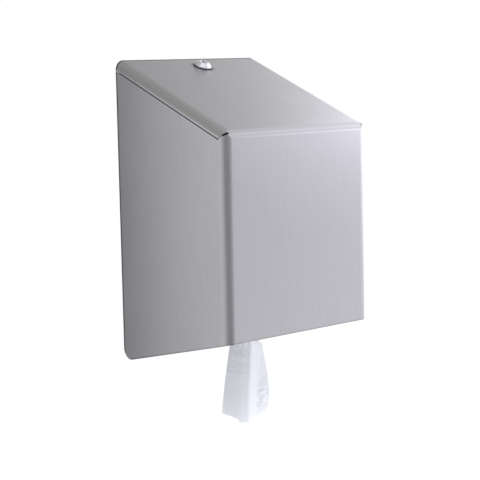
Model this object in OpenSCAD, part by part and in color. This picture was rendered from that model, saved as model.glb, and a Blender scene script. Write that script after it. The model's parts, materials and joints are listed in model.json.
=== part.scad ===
// Wall-hung dispenser for a centre-pull roll of paper, in brushed stainless sheet.
// The folded cover swings down about two studs at its lower rear corners.
// Frame: the wall is the plane y = 0, the front faces -Y and Z is up.
// The origin is the centre of the four wall holes.

/* [Cover] */
// Outer width of the cover
cover_w = 240; // [200:1:300]
// Depth from the cover's rear edge to its front face
cover_depth = 212; // [180:1:260]
// Height of the cover along the wall
rear_h = 392; // [370:1:440]
// Height of the front face
front_h = 255; // [235:1:270]
// Rise of the bottom edge from the wall to the front
bottom_rise = 51; // [42:1:56]
// Thickness of the cover's sheet
cover_t = 1; // [0.8:0.1:1.5]
// Outer radius of the cover's bends
bend_r = 11.5; // [9:0.5:15]
// Radius of the lower rear corners, about the hinge
corner_r = 14; // [13.5:0.5:16]
// Gap between the cover's rear edge and the wall
wall_gap = 1; // [0.5:0.5:2]
// Height of the flat edge below the bends along the top
seam_flat = 0.4; // [0.2:0.1:3]
// Width of the open seam under each side flange
seam_gap = 0.8; // [0.4:0.1:1.2]
// Width of the slit along the mitre at each top front corner
mitre_gap = 0.6; // [0.4:0.1:1]
// Width of the relief notch at the end of the mitre
notch_w = 2.4; // [1.5:0.1:3.5]
// Length of the relief notch across the corner
notch_len = 6.7; // [4:0.1:7.5]
// Distance of the notch from the corner's inner end
notch_start = 3; // [2.5:0.1:3.5]

/* [Back plate] */
// Thickness of the back plate
plate_t = 1.2; // [1:0.1:1.8]
// Outer radius of the back plate's bends
plate_bend_r = 2.6; // [2.2:0.1:4]
// Gap between the plate's side flanges and the inside of the cover
side_gap = 4; // [3:0.25:6]
// Reach of the hinge ears round the hinge axis
ear_r = 9; // [7.5:0.5:11]
// Depth of the plate's top flange
top_flange_depth = 11; // [9.5:0.5:12.5]
// Gap between the top flange and the inside of the cover's top
top_flange_gap = 1.6; // [1:0.1:2.5]
// Distance of the top flange's ends from the plate's sides
top_flange_inset = 9; // [6:1:20]
// Sideways distance of the wall holes
hole_pitch_x = 140; // [100:5:170]
// Upright distance of the wall holes
hole_pitch_z = 200; // [150:5:210]
// Diameter of the wall holes
hole_d = 6; // [4:0.5:8]

/* [Hinge] */
// Diameter of the hinge studs
stud_d = 6; // [5:0.5:7]
// Running clearance round each stud
stud_clearance = 0.15; // [0.1:0.05:0.3]
// Wall of the nylon bush round each stud
bush_wall = 1.2; // [0.8:0.1:1.4]
// Diameter of the bush's flange
bush_flange_d = 15; // [12:0.5:17]
// Free play between the bush and the cover's side, and between the bush and the clip
bush_play = 0.3; // [0.2:0.05:0.6]
// Reach of the bush past the ear's inner face
bush_out = 0.6; // [0.4:0.1:1]
// Diameter of the push-on clip at each stud's end
clip_d = 12; // [10:0.5:14]
// Thickness of the clip
clip_t = 0.8; // [0.5:0.1:1.2]
// Length of stud past the clip
stud_tip = 2.5; // [1.5:0.5:4]
// Chamfer at a stud's end
stud_chamfer = 1; // [0.5:0.25:1.5]

/* [Shelf] */
// Height of the shelf's top over the cover's front bottom edge
shelf_over_front = 5; // [4:0.5:12]
// Thickness of the shelf
shelf_t = 1.2; // [1:0.1:1.8]
// Outer radius of the shelf's bends
shelf_bend_r = 2.4; // [2:0.1:3.5]
// Gap between the shelf's front and the inside of the cover
shelf_front_gap = 12; // [10:1:20]
// Depth of the shelf's front lip
shelf_lip_h = 6; // [4:0.5:8]
// Height of the shelf's side flanges at the wall
shelf_side_h = 40; // [30:1:60]
// Height of the side flanges at the front
shelf_tip_h = 14; // [8:1:20]
// Height of the shelf's rear flange
shelf_rear_h = 22; // [16:1:30]
// Gap left at the shelf's corners between its flanges
shelf_relief = 3; // [2:0.5:6]

/* [Rivets] */
// Diameter of the rivets' shanks
rivet_d = 3.2; // [2.4:0.1:4]
// Diameter of the rivets' heads
rivet_head_d = 6; // [5:0.5:7]
// Height of the rivets' heads
rivet_head_h = 1.2; // [0.8:0.1:1.6]
// Clearance round the rivets' shanks
rivet_clearance = 0.05; // [0.02:0.01:0.1]
// Upright spacing of the two rivets in each side of the shelf
rivet_pitch = 24; // [14:1:30]
// Distance of the rear rivets from the middle
rear_rivet_x = 60; // [30:1:90]
// Height of the rear rivets over the shelf
rear_rivet_up = 12; // [9:0.5:12.5]
// Width of a rivet's head at its top
rivet_top_d = 3.8; // [3:0.1:4.5]

/* [Nozzle] */
// Depth of the seat pressed into the shelf for the nozzle
seat_depth = 3; // [2:0.25:5]
// Radius of that seat
seat_r = 49.5; // [46:0.5:56]
// Radius of the nozzle's collar
collar_r = 39.5; // [34:0.5:42]
// Clearance round the nozzle where it sits
nozzle_clearance = 0.4; // [0.2:0.1:0.8]
// Height of the bead that keeps the ring on the nozzle
bead_h = 0.8; // [0.5:0.1:1.2]
// Thickness of the nozzle's flange
nozzle_flange_t = 2.6; // [1.8:0.1:3]
// Wall of the nozzle
nozzle_wall = 2.2; // [1.6:0.1:3]
// Inside radius of the nozzle's throat
throat_r = 13.5; // [11:0.5:18]
// Drop from the shelf's top to the start of the throat
throat_drop = 19; // [17:0.5:22]
// Length of the throat
throat_len = 5; // [4:0.5:6]
// Number of tearing slots in the throat's rim
slot_count = 8; // [4:1:12]
// Width of a tearing slot
slot_w = 2; // [1:0.25:3]
// Depth of a tearing slot
slot_h = 3; // [1.5:0.25:3.5]
// Height of the ring that holds the nozzle
ring_h = 4; // [3:0.25:5]
// Width of the ring
ring_w = 7; // [4:0.5:9]
// Number of finger lugs on the ring
lug_count = 3; // [2:1:6]
// Reach of a finger lug
lug_reach = 3; // [2:0.5:5]
// Width of a finger lug
lug_w = 10; // [6:1:16]

/* [Lock] */
// Distance of the lock from the cover's rear edge
lock_back = 26; // [25:0.5:32]
// Sideways place of the lock from the middle
lock_x = 3; // [-10:1:10]
// Radius of the lock's bezel at its foot
bezel_r = 11.3; // [10.5:0.1:13]
// Radius of the bezel's top face
bezel_top_r = 6.8; // [6:0.1:8]
// Height of the bezel
bezel_h = 7; // [5:0.5:9]
// Height of the undercut below the bezel's skirt
undercut_h = 1.2; // [0.8:0.1:1.6]
// Depth of the undercut
undercut_in = 1.5; // [1:0.1:2]
// Height of the bezel's upright skirt
skirt_h = 1.4; // [0.8:0.1:2]
// Radius of the lock's barrel
barrel_r = 8; // [7.4:0.1:8.4]
// Reach of the barrel below the cover's top face
barrel_len = 14; // [13:0.5:16]
// Clearance round the barrel
barrel_clearance = 0.2; // [0.1:0.05:0.4]
// Radius of the turning plug
plug_r = 4.6; // [4.2:0.1:5]
// Running clearance round the plug
plug_clearance = 0.15; // [0.1:0.05:0.25]
// Depth of the plug's face below the bezel's top
plug_sink = 0.5; // [0.2:0.1:1]
// Width of the key slot
key_w = 1.8; // [1.2:0.1:2.4]
// Length of the key slot
key_len = 7.4; // [5:0.2:8]
// Depth of the key slot
key_depth = 9; // [5:0.5:12]
// Thickness of the lock's washer
washer_t = 0.8; // [0.5:0.1:1.2]
// Outer radius of the lock's washer
washer_r = 11; // [10:0.5:12]
// Width of the lock's nut across its flats
nut_af = 22; // [19:0.5:23]
// Thickness of the lock's nut
nut_t = 4; // [3:0.5:5]

/* [Cam and catch] */
// Thickness of the cam
cam_t = 2; // [1.5:0.1:2.5]
// Radius of the cam's hub
cam_hub_r = 7.5; // [7:0.1:8]
// Width of the cam's arm
cam_w = 11; // [8:0.5:12]
// Reach of the cam from the lock's axis
cam_len = 18.5; // [17:0.25:19]
// Gap between the barrel and the cam
cam_gap = 0.3; // [0.2:0.1:0.6]
// Side of the square that drives the cam
drive_side = 5.4; // [4.8:0.1:5.8]
// Clearance round the square
drive_clearance = 0.05; // [0.03:0.01:0.1]
// Diameter of the cam screw
screw_d = 3; // [2.5:0.1:3.5]
// Diameter of the cam screw's head
screw_head_d = 9; // [8:0.5:11]
// Height of the cam screw's head
screw_head_h = 2.4; // [2:0.1:3]
// Depth of the cam screw in the plug
screw_depth = 6; // [4:0.5:7]
// Gap at the end of the screw's hole
screw_tip_gap = 1; // [0.5:0.25:1.5]
// Width of the cross in the screw's head
cross_w = 1; // [0.8:0.1:1.4]
// Length of the cross
cross_len = 4.6; // [3:0.2:6]
// Depth of the cross
cross_depth = 1.2; // [0.8:0.1:1.6]
// Thickness of the cam's washer
cam_washer_t = 0.8; // [0.5:0.1:1.2]
// Diameter of the cam's washer
cam_washer_d = 10; // [9.5:0.5:12]
// Thickness of the catch
catch_t = 1.5; // [1.2:0.1:2]
// Gap between the catch and the cam that slides under it
catch_gap = 0.5; // [0.4:0.1:0.8]
// Gap between the lock's barrel and the catch's front edge
catch_front_gap = 1.6; // [1.2:0.1:2.2]
// Width of the catch
catch_w = 46; // [42:1:60]
// Height of the catch's foot on the back plate
catch_foot_h = 8.6; // [8:0.1:9]
// Sideways distance of the catch's rivets
catch_rivet_pitch = 34; // [30:1:40]

/* [Buffers] */
// Diameter of the rubber buffers
buffer_d = 8; // [6:0.5:9]
// Diameter of a buffer's neck in the top flange
buffer_neck_d = 4; // [3:0.25:5]
// Gap between a buffer and the cover
buffer_gap = 0.3; // [0.2:0.1:0.5]
// Clearance round a buffer's neck
buffer_clearance = 0.05; // [0.02:0.01:0.2]
// Height of the buffer's foot under the flange
buffer_foot_h = 1.5; // [1:0.25:2.5]
// Diameter of the buffer's foot
buffer_foot_d = 5.6; // [5.2:0.1:6.5]
// Gap between the buffer's foot and the bend behind it
buffer_foot_gap = 0.2; // [0.1:0.1:0.5]
// Distance of the buffers from the top flange's ends
buffer_inset = 22; // [12:1:40]

/* [Paper roll] */
// Gap between the roll and the shelf's folded sides
roll_side_gap = 15.1; // [10:0.1:30]
// Gap between the roll and the cover's front
roll_front_gap = 7.5; // [5:0.5:25]
// Gap between the roll and the back plate
roll_rear_gap = 8.3; // [6:0.1:12]
// Height of the roll
roll_h = 195; // [150:1:200]
// Diameter of the hole left by the core
core_d = 60; // [56:1:80]
// Gap between the roll and the shelf
roll_gap = 0.3; // [0.2:0.1:1]
// Number of grooves between the turns that show on the roll's ends
turn_count = 14; // [6:1:18]
// Width of a groove
groove_w = 0.7; // [0.4:0.1:1]
// Depth of a groove
groove_h = 0.6; // [0.3:0.1:1]
// Thickness of the outer turn, which ends in a step
outer_turn_t = 0.6; // [0.3:0.1:1]
// Angle that the outer turn leaves open before it starts
outer_turn_gap = 60; // [20:5:180]
// Angle at which the outer turn starts
outer_turn_start = -60; // [-90:5:90]

/* [Paper tail] */
// Gap between the paper and the throat of the nozzle
tail_gap = 0.5; // [0.3:0.1:1]
// Height over the shelf at which the paper leaves the roll
tail_rise = 62; // [40:1:90]
// Wall of the paper cone between the roll and the nozzle
cone_wall = 3; // [2:0.5:5]
// Length of paper below the nozzle
tail_len = 114; // [60:1:120]
// Share of that length over which the paper fans out
fan_share = 0.48; // [0.3:0.02:0.8]
// Width of the tail at its widest
tail_w = 56; // [40:1:64]
// Thickness of the gathered tail at its widest
tail_thick = 22; // [14:1:26]
// Turn of the tail about its own axis, seen from above
tail_turn = -50; // [-90:1:90]
// Depth of the gathers
pleat_h = 2.2; // [1:0.1:3]
// Number of gathers round the tail
pleat_count = 7; // [5:1:9]
// Unevenness of the torn edge
tear_h = 4; // [1:0.5:6]
// Long waves of the torn edge round the tail
long_tears = 3; // [2:1:5]
// Short waves of the torn edge round the tail
short_tears = 7; // [5:1:9]
// Height of the short waves as a share of the long ones
short_tear_share = 0.6; // [0.2:0.1:1]
// Angle at which the first long wave starts
tear_start = 40; // [0:5:90]

/* [Hidden] */

$fn = 64;
over = 1;
y_rear = -wall_gap;
y_front = y_rear - cover_depth;
z_low = -rear_h / 2;
z_top = rear_h / 2;
z_front_low = z_low + bottom_rise;
z_front_top = z_front_low + front_h;
slope = atan2(z_top - z_front_top, cover_depth);
low_slope = atan2(bottom_rise, cover_depth);

hinge_y = y_rear - corner_r;
hinge_z = z_low + corner_r * (1 + sin(low_slope)) / cos(low_slope);

cover_in = cover_w / 2 - cover_t;
plate_half = cover_in - side_gap;
plate_in = plate_half - plate_t;
flange_depth = ear_r - hinge_y;

// The largest roll that keeps its gaps to the sides, the front and the back plate
roll_d = min(
    2 * (plate_in - shelf_t - roll_side_gap),
    -y_front - cover_t - roll_front_gap - roll_rear_gap - plate_t
);
roll_axis = plate_t + roll_rear_gap + roll_d / 2;

// Height of the cover's outer top face over a place y
function top_z(y) = z_top + (y - y_rear) * tan(slope);

// Point in the side view that lies a depth below the top face, at the place y
function under_top(y, depth) = [y, top_z(y) - depth / cos(slope)];

// Height of the sloping bottom edge at the place y
function bottom_z(y) = z_low + (y_rear - y) * tan(low_slope);

half_turn = 180;
half_corner = 45;
front_bend_y = y_front + bend_r;
front_bend_z = under_top(front_bend_y, bend_r)[1];
mitre = half_corner - slope / 2;
flat_half = cover_w / 2 - bend_r;
fall_len = (y_rear - front_bend_y) / cos(slope) + bend_r;

shelf_z = z_front_low + shelf_over_front;
shelf_front = y_front + cover_t + shelf_front_gap;
seat_z = shelf_z - seat_depth;
seat_under = seat_z - shelf_t;
ring_low = seat_under - ring_h;
throat_z = shelf_z - throat_drop;
nozzle_low = throat_z - throat_len;
rivet_y = hinge_y;
rivet_z = shelf_z + shelf_side_h / 2;
rear_rivet_z = shelf_z + rear_rivet_up;

lock_y = y_rear - lock_back;
cam_top = -barrel_len - cam_gap;
cam_low = cam_top - cam_t;
catch_low = cam_top + catch_gap;
catch_front = barrel_r + catch_front_gap;
bush_d = stud_d + 2 * (stud_clearance + bush_wall);
ear_hole_d = bush_d + 2 * stud_clearance;
flange_low = cover_t + top_flange_gap + plate_t;
buffer_back = (buffer_foot_gap + plate_bend_r + y_rear + flange_low * sin(slope)) / cos(slope)
    + buffer_foot_d / 2;
buffer_x = plate_half - top_flange_inset - buffer_inset;
clip_x = plate_in - bush_out - bush_play;
stud_end = clip_x - clip_t - stud_tip;

// Stands a shape on the cover's top face over the place y, with its local Z square to the face
module on_top(y) {
    translate([0, y, top_z(y)])
        rotate([slope, 0, 0])
            children();
}

// Puts a shape on the lock's axis, local Z up the axis and zero at the cover's face
module at_lock() {
    translate([lock_x, 0, 0])
        on_top(lock_y)
            children();
}

// Draws a side view in y and z and extrudes it along X, centred
module along_x(width) {
    translate([-width / 2, 0, 0])
        rotate([90, 0, 90])
            linear_extrude(width)
                children();
}

// Repeats a shape on the left and right sides
module both_sides() {
    children();
    mirror([1, 0, 0])
        children();
}

// Waste outside an arc of radius r about c, between the tangent points t1 and t2
module corner_waste(c, r, t1, tip, t2) {
    difference() {
        polygon([c, t1, tip, t2]);
        translate(c)
            circle(r, $fn = 128);
    }
}

// Box outline with two corners of radius r rounded, at its low side in the second direction
module two_round_corners(half, low, high, r) {
    difference() {
        translate([-half, low])
            square([2 * half, high - low]);
        for (side = [-1, 1])
            corner_waste(
                [side * (half - r), low + r], r, [side * half, low + r],
                [side * (half + over), low - over], [side * (half - r), low]
            );
    }
}

// Moves a shape from the meeting point of the bend axes at the right top front corner
module at_corner() {
    translate([flat_half, front_bend_y, front_bend_z])
        children();
}

// Half of space above the plane z = 0
module half_space() {
    translate([-rear_h, -rear_h, 0])
        cube(2 * rear_h);
}

// Part of a corner above the mitre, or above a plane at a distance over it
module above_mitre(distance) {
    rotate([-mitre, 0, 0])
        translate([0, 0, distance])
            half_space();
}

// Part of a corner below the mitre, or below a plane at a distance over it
module below_mitre(distance) {
    rotate([half_turn - mitre, 0, 0])
        translate([0, 0, -distance])
            half_space();
}

// Part of a corner where the front top bend wins over the upright bend
module over_upright_bend() {
    rotate([0, -half_corner, 0])
        half_space();
}

// Part of a corner where the front top bend wins over the bend along the top
module over_top_side_bend() {
    rotate([slope, 0, 0])
        rotate([0, 0, -half_corner])
            rotate([90, 0, 0])
                half_space();
}

// Bent strip of the cover's sheet round the Z axis, from +X on through an angle
module bend(angle, length) {
    rotate_extrude(angle = angle, $fn = 128)
        translate([bend_r - cover_t, 0])
            square([cover_t, length]);
}

module front_panel() {
    translate([-flat_half, y_front, z_front_low])
        cube([2 * flat_half, cover_t, front_bend_z - z_front_low]);
}

module top_panel() {
    translate([-flat_half, front_bend_y, front_bend_z])
        rotate([slope, 0, 0])
            translate([0, 0, bend_r - cover_t])
                cube([2 * flat_half, fall_len, cover_t]);
}

// Right side panel, from its bend to the rear, with its round lower rear corner
module side_panel() {
    hinge = [hinge_y, hinge_z];
    from_corner = -[front_bend_y, front_bend_z];
    at_corner()
        translate([bend_r - cover_t, 0, 0])
            rotate([90, 0, 90])
                linear_extrude(cover_t)
                    difference() {
                        translate(from_corner)
                            polygon([
                                [y_rear, z_low], [front_bend_y, bottom_z(front_bend_y)],
                                under_top(front_bend_y, bend_r + seam_flat + seam_gap),
                                under_top(y_rear, bend_r + seam_flat + seam_gap)
                            ]);
                        translate(from_corner)
                            corner_waste(
                                hinge, corner_r, [y_rear, hinge_z], [y_rear + over, z_low - over],
                                hinge + corner_r * [-sin(low_slope), -cos(low_slope)]
                            );
                    }
}

// Right upright bend, cut to the slope of the bottom edge
module upright_bend() {
    difference() {
        at_corner()
            difference() {
                translate([0, 0, z_low - front_bend_z])
                    rotate([0, 0, -90])
                        bend(90, rear_h);
                above_mitre(-mitre_gap / 2);
                over_upright_bend();
            }
        translate([0, y_front, z_front_low])
            rotate([half_turn - low_slope, 0, 0])
                half_space();
    }
}

// Section of the top's right edge: its bend and the flat edge below it
module top_edge_section() {
    inner_r = bend_r - cover_t;
    difference() {
        translate([0, -seam_flat])
            square([bend_r, bend_r + seam_flat]);
        corner_waste(
            [0, 0], bend_r, [bend_r, 0], [bend_r + over, bend_r + over], [0, bend_r]
        );
        difference() {
            translate([-over, -seam_flat - over])
                square([inner_r + over, inner_r + seam_flat + over]);
            corner_waste([0, 0], inner_r, [inner_r, 0], [inner_r, inner_r], [0, inner_r]);
        }
    }
}

// Right bend along the fall of the top, with its flat edge
module top_side_bend() {
    at_corner()
        difference() {
            rotate([slope, 0, 0])
                translate([0, fall_len, 0])
                    rotate([90, 0, 0])
                        linear_extrude(fall_len + 2 * bend_r)
                            top_edge_section();
            below_mitre(mitre_gap / 2);
            over_top_side_bend();
        }
}

// Bend between the front and the top, pointed where it meets the others
module front_top_bend() {
    difference() {
        translate([-cover_w / 2, front_bend_y, front_bend_z])
            rotate([90, 0, 90])
                rotate([0, 0, 90 + slope])
                    bend(90 - slope, cover_w);
        both_sides()
            at_corner() {
                rotate([0, half_turn - half_corner, 0])
                    half_space();
                rotate([slope, 0, 0])
                    rotate([0, 0, half_turn - half_corner])
                        rotate([90, 0, 0])
                            half_space();
            }
    }
}

// Relief notch at the inner end of the right mitre
module relief_notch() {
    at_corner()
        rotate([-mitre, 0, 0])
            translate([notch_start, -2 * bend_r, -notch_w / 2])
                cube([notch_len, 1.5 * bend_r, notch_w]);
}

module cover() {
    color("silver")
        difference() {
            union() {
                front_panel();
                top_panel();
                front_top_bend();
                both_sides() {
                    side_panel();
                    upright_bend();
                    top_side_bend();
                }
            }
            translate([0, y_rear, 0])
                rotate([-90, 0, 0])
                    half_space();
            both_sides()
                relief_notch();
            at_lock()
                translate([0, 0, -2 * cover_t])
                    cylinder(r = barrel_r + barrel_clearance, h = 3 * cover_t);
        }
}

// Side view of the back plate's panel and flanges, with the round hinge ears
module plate_side_view() {
    top_depth = cover_t + top_flange_gap + 2 * plate_bend_r;
    polygon([
        [0, hinge_z], [-flange_depth, hinge_z],
        under_top(-flange_depth, top_depth), under_top(0, top_depth)
    ]);
    translate([hinge_y, hinge_z])
        circle(ear_r);
}

// Plan view of the back plate, a shallow channel open to the front
module plate_plan_view() {
    difference() {
        mirror([0, 1])
            two_round_corners(plate_half, 0, flange_depth, plate_bend_r);
        mirror([0, 1])
            two_round_corners(
                plate_in, plate_t, flange_depth + over, plate_bend_r - plate_t
            );
    }
}

// Side view of the top flange, folded forward along the cover's top
module top_flange_view() {
    outer = cover_t + top_flange_gap;
    bend = under_top(-plate_bend_r, outer + plate_bend_r);
    inner_r = plate_bend_r - plate_t;
    start = bend[1] - plate_bend_r;
    up = [-sin(slope), cos(slope)];
    difference() {
        polygon([
            [0, start], under_top(0, outer), under_top(-top_flange_depth, outer),
            under_top(-top_flange_depth, outer + plate_t),
            under_top(-plate_t, outer + plate_t), [-plate_t, start]
        ]);
        corner_waste(
            bend, plate_bend_r, [0, bend[1]], under_top(0, outer) + [over, over],
            bend + plate_bend_r * up
        );
    }
    corner_waste(
        bend, inner_r, [-plate_t, bend[1]], under_top(-plate_t, outer + plate_t),
        bend + inner_r * up
    );
}

module back_plate() {
    color("gainsboro")
        difference() {
            union() {
                intersection() {
                    translate([0, 0, z_low])
                        linear_extrude(rear_h)
                            plate_plan_view();
                    along_x(2 * plate_half + over)
                        plate_side_view();
                }
                along_x(2 * (plate_half - top_flange_inset))
                    top_flange_view();
            }
            for (x = [-1, 1], z = [-1, 1])
                translate([x * hole_pitch_x / 2, over, z * hole_pitch_z / 2])
                    rotate([90, 0, 0])
                        cylinder(d = hole_d, h = plate_t + 2 * over);
            both_sides() {
                translate([plate_in - over, hinge_y, hinge_z])
                    rotate([0, 90, 0])
                        cylinder(d = ear_hole_d, h = plate_t + 2 * over);
                shelf_side_rivets(rivet_clearance);
                on_top(y_rear)
                    buffer_neck(over, buffer_clearance);
            }
            catch_rivet_pair(rivet_clearance);
            shelf_rear_rivets(rivet_clearance);
        }
}

// A rivet's shank, or the hole for it with some clearance, which passes both faces
module shank(stack, grow) {
    past = grow > 0 ? over : 0;
    translate([0, 0, -past])
        cylinder(d = rivet_d + 2 * grow, h = stack + 2 * past);
}

// Rivet along +Z from the outside face: domed head, shank and formed tail
module side_rivet(stack, grow) {
    shank(stack, grow);
    if (grow == 0) {
        translate([0, 0, -rivet_head_h])
            cylinder(d1 = rivet_top_d, d2 = rivet_head_d, h = rivet_head_h);
        translate([0, 0, stack])
            cylinder(d1 = rivet_head_d, d2 = rivet_top_d, h = rivet_head_h);
    }
}

// Rivet along +Z from the wall face: countersunk foot, shank and domed head
module flush_rivet(plate, stack, grow) {
    cylinder(d1 = rivet_head_d + 2 * grow, d2 = rivet_d + 2 * grow, h = plate);
    shank(stack, grow);
    if (grow == 0)
        translate([0, 0, stack])
            cylinder(d1 = rivet_head_d, d2 = rivet_top_d, h = rivet_head_h);
}

// The two rivets in the right side of the shelf
module shelf_side_rivets(grow) {
    for (step = [-0.5, 0.5])
        translate([plate_half, rivet_y, rivet_z + step * rivet_pitch])
            rotate([0, -90, 0])
                side_rivet(plate_t + shelf_t, grow);
}

// The two rivets in the shelf's rear flange
module shelf_rear_rivets(grow) {
    for (side = [-1, 1])
        translate([side * rear_rivet_x, 0, rear_rivet_z])
            rotate([90, 0, 0])
                flush_rivet(plate_t, plate_t + shelf_t, grow);
}

// The two rivets in the foot of the catch
module catch_rivet_pair(grow) {
    for (side = [-1, 1])
        translate([lock_x + side * catch_rivet_pitch / 2, 0, catch_foot_z() + catch_foot_h / 2])
            rotate([90, 0, 0])
                flush_rivet(plate_t, plate_t + catch_t, grow);
}

module shelf_rivets() {
    color("darkgray") {
        both_sides()
            shelf_side_rivets(0);
        shelf_rear_rivets(0);
    }
}

module catch_rivets() {
    color("darkgray")
        catch_rivet_pair(0);
}

// Side view of the shelf's folded sides, with heights over its top face
module shelf_side_view() {
    low = -shelf_t - over;
    polygon([
        [-plate_t, shelf_side_h],
        [-plate_t, low],
        [shelf_front, low],
        [shelf_front, shelf_tip_h],
        [-flange_depth, shelf_side_h]
    ]);
}

// Front view of the shelf, a channel open above, with heights over its top face
module shelf_front_view() {
    difference() {
        two_round_corners(plate_in, -shelf_t, shelf_side_h + over, shelf_bend_r);
        two_round_corners(
            plate_in - shelf_t, 0, shelf_side_h + 2 * over, shelf_bend_r - shelf_t
        );
    }
}

// Side view of an angle strip with its bend at the corner [0, 0]
module angle_view(leg_a, leg_b, thick, r) {
    difference() {
        square([leg_a, leg_b]);
        translate([thick, thick])
            square([leg_a, leg_b]);
        corner_waste([r, r], r, [0, r], [-over, -over], [r, 0]);
    }
    corner_waste([r, r], r - thick, [thick, r], [thick, thick], [r, thick]);
}

module shelf() {
    inner = plate_in - shelf_bend_r - shelf_relief;
    angle_leg = 3 * shelf_bend_r;
    side_rear = -plate_t - 2 * shelf_bend_r;
    color("gainsboro")
        difference() {
            union() {
                translate([0, 0, shelf_z])
                    intersection() {
                        translate([0, side_rear, 0])
                            rotate([90, 0, 0])
                                linear_extrude(side_rear - shelf_front - shelf_bend_r)
                                    shelf_front_view();
                        along_x(2 * plate_in + over)
                            shelf_side_view();
                    }
                translate([0, -plate_t, shelf_z])
                    mirror([0, 1, 0])
                        along_x(2 * inner)
                            translate([0, -shelf_t])
                                angle_view(
                                    angle_leg, shelf_rear_h + shelf_t, shelf_t, shelf_bend_r
                                );
                translate([0, shelf_front, shelf_z])
                    mirror([0, 0, 1])
                        along_x(2 * inner)
                            angle_view(angle_leg, shelf_lip_h, shelf_t, shelf_bend_r);
                translate([0, -roll_axis, seat_under])
                    cylinder(r = seat_r + shelf_t, h = seat_depth + shelf_t / 2);
            }
            translate([0, -roll_axis, seat_z])
                cylinder(r = seat_r, h = seat_depth + over);
            translate([0, -roll_axis, seat_under - over])
                cylinder(r = collar_r + nozzle_clearance, h = shelf_t + 2 * over);
            both_sides()
                shelf_side_rivets(rivet_clearance);
            shelf_rear_rivets(rivet_clearance);
        }
}

// Half section of the nozzle, radius and height
module nozzle_section() {
    flange_top = seat_z + nozzle_flange_t;
    collar_low = ring_low - nozzle_wall;
    collar_in = collar_r - nozzle_wall;
    polygon([
        [collar_in, flange_top],
        [seat_r - nozzle_clearance, flange_top],
        [seat_r - nozzle_clearance, seat_z],
        [collar_r, seat_z],
        [collar_r, ring_low],
        [collar_r + bead_h, ring_low - bead_h / 2],
        [collar_r, collar_low],
        [throat_r + nozzle_wall, throat_z - nozzle_wall / 2],
        [throat_r + nozzle_wall, nozzle_low],
        [throat_r, nozzle_low],
        [throat_r, throat_z],
        [collar_in, collar_low + nozzle_wall]
    ]);
}

module nozzle() {
    color("whitesmoke")
        translate([0, -roll_axis, 0])
            difference() {
                rotate_extrude($fn = 96)
                    nozzle_section();
                for (slot = [0 : slot_count - 1])
                    rotate([0, 0, slot * 360 / slot_count])
                        translate([throat_r - over, -slot_w / 2, nozzle_low - over])
                            cube([nozzle_wall + 2 * over, slot_w, slot_h + over]);
            }
}

module nozzle_ring() {
    bore = collar_r + nozzle_clearance / 2;
    color("whitesmoke")
        translate([0, -roll_axis, ring_low])
            difference() {
                union() {
                    cylinder(r = bore + ring_w, h = ring_h, $fn = 96);
                    for (lug = [0 : lug_count - 1])
                        rotate([0, 0, lug * 360 / lug_count])
                            translate([0, -lug_w / 2, 0])
                                cube([bore + ring_w + lug_reach, lug_w, ring_h]);
                }
                translate([0, 0, -over])
                    cylinder(r = bore, h = ring_h + 2 * over, $fn = 96);
            }
}

// Height of the low edge of the catch's foot, where its arm leaves the back plate
function catch_foot_z() = under_top(-plate_t, -catch_low)[1];

// Side view of the catch: foot on the back plate and arm along the cover's top
module catch_view() {
    y_axis = lock_y - catch_low * sin(slope);
    tip_y = y_axis + catch_front * cos(slope);
    wall = -plate_t;
    foot = wall - catch_t;
    polygon([
        [wall, catch_foot_z()],
        [wall, catch_foot_z() + catch_foot_h],
        [foot, catch_foot_z() + catch_foot_h],
        under_top(foot, -catch_low - catch_t),
        under_top(tip_y, -catch_low - catch_t),
        under_top(tip_y, -catch_low)
    ]);
}

module lock_catch() {
    color("darkgray")
        difference() {
            translate([lock_x, 0, 0])
                along_x(catch_w)
                    catch_view();
            catch_rivet_pair(rivet_clearance);
        }
}

// Neck of the right buffer, long enough to pass the top flange
module buffer_neck(extra, clearance) {
    translate([buffer_x, -buffer_back, -flange_low - extra])
        cylinder(d = buffer_neck_d + 2 * clearance, h = plate_t + 2 * extra);
}

module rubber_buffers() {
    flange_top = -cover_t - top_flange_gap;
    color("dimgray")
        both_sides()
            on_top(y_rear) {
                buffer_neck(0, 0);
                translate([buffer_x, -buffer_back, flange_top])
                    cylinder(d = buffer_d, h = top_flange_gap - buffer_gap);
                translate([buffer_x, -buffer_back, -flange_low - buffer_foot_h])
                    cylinder(d1 = buffer_neck_d, d2 = buffer_foot_d, h = buffer_foot_h);
            }
}

module hinge_bushes() {
    color("ivory")
        both_sides()
            translate([0, hinge_y, hinge_z])
                rotate([0, 90, 0])
                    difference() {
                        union() {
                            translate([0, 0, plate_half])
                                cylinder(d = bush_flange_d, h = side_gap - bush_play);
                            translate([0, 0, plate_in - bush_out])
                                cylinder(d = bush_d, h = plate_t + bush_out + bush_play);
                        }
                        translate([0, 0, plate_in - bush_out - over])
                            cylinder(d = stud_d + 2 * stud_clearance, h = plate_t + side_gap + 3 * over);
                    }
}

module hinge_studs() {
    color("silver")
        both_sides()
            translate([0, hinge_y, hinge_z])
                rotate([0, 90, 0]) {
                    translate([0, 0, stud_end + stud_chamfer])
                        cylinder(d = stud_d, h = cover_in - stud_end - stud_chamfer);
                    translate([0, 0, stud_end])
                        cylinder(d1 = stud_d - 2 * stud_chamfer, d2 = stud_d, h = stud_chamfer);
                }
}

module stud_clips() {
    color("dimgray")
        both_sides()
            translate([0, hinge_y, hinge_z])
                rotate([0, 90, 0])
                    difference() {
                        translate([0, 0, clip_x - clip_t])
                            cylinder(d = clip_d, h = clip_t);
                        translate([0, 0, clip_x - clip_t - over])
                            cylinder(d = stud_d, h = clip_t + 2 * over);
                    }
}

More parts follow.
